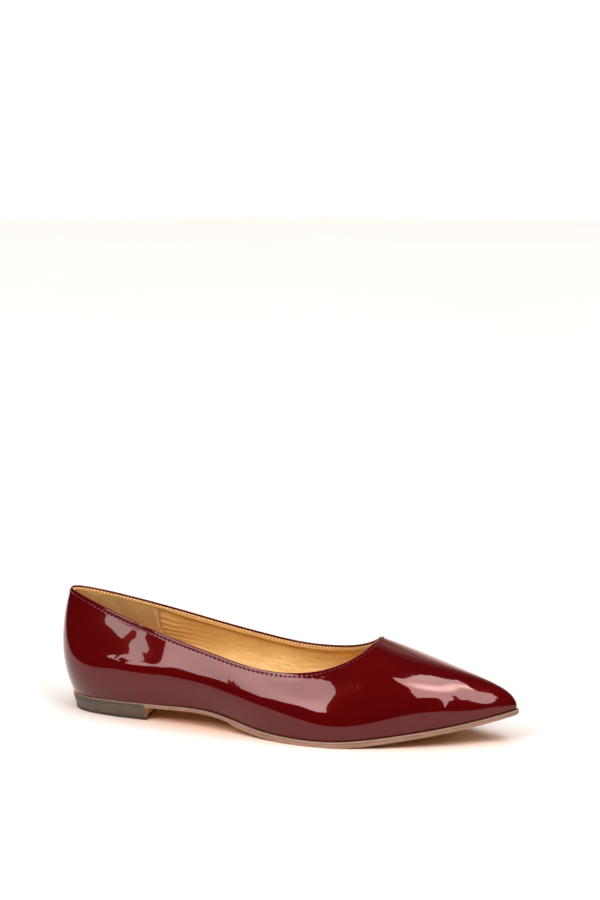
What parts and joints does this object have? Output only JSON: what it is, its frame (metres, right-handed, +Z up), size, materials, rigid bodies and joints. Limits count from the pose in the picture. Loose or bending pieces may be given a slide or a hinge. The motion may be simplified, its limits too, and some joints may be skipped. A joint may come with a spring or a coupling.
{
  "type": "pointed toe flat shoe",
  "caption": "Low-cut pointed toe flat for the right foot, in glossy dark red patent with a tan lining, a thin rubber sole and a low heel.",
  "frame": {"origin": "middle of the shoe's box in plan, on the floor that the heel and the forefoot stand on", "axes": "+X from the heel to the toe, +Y to the inner side of the foot, +Z up"},
  "size_m": [0.2636, 0.0822, 0.0665],
  "materials": {
    "patent": "high gloss dark red patent",
    "sock": "tan satin lining",
    "sole_rubber": "matt taupe",
    "heel_rubber": "matt taupe",
    "tread_rubber": "matt dark brown"
  },
  "bodies": {
    "root": {"upper": "patent", "insole": "sock", "outsole": "sole_rubber", "heel_block": "heel_rubber", "heel_top_piece": "tread_rubber"}
  },
  "joints": []
}
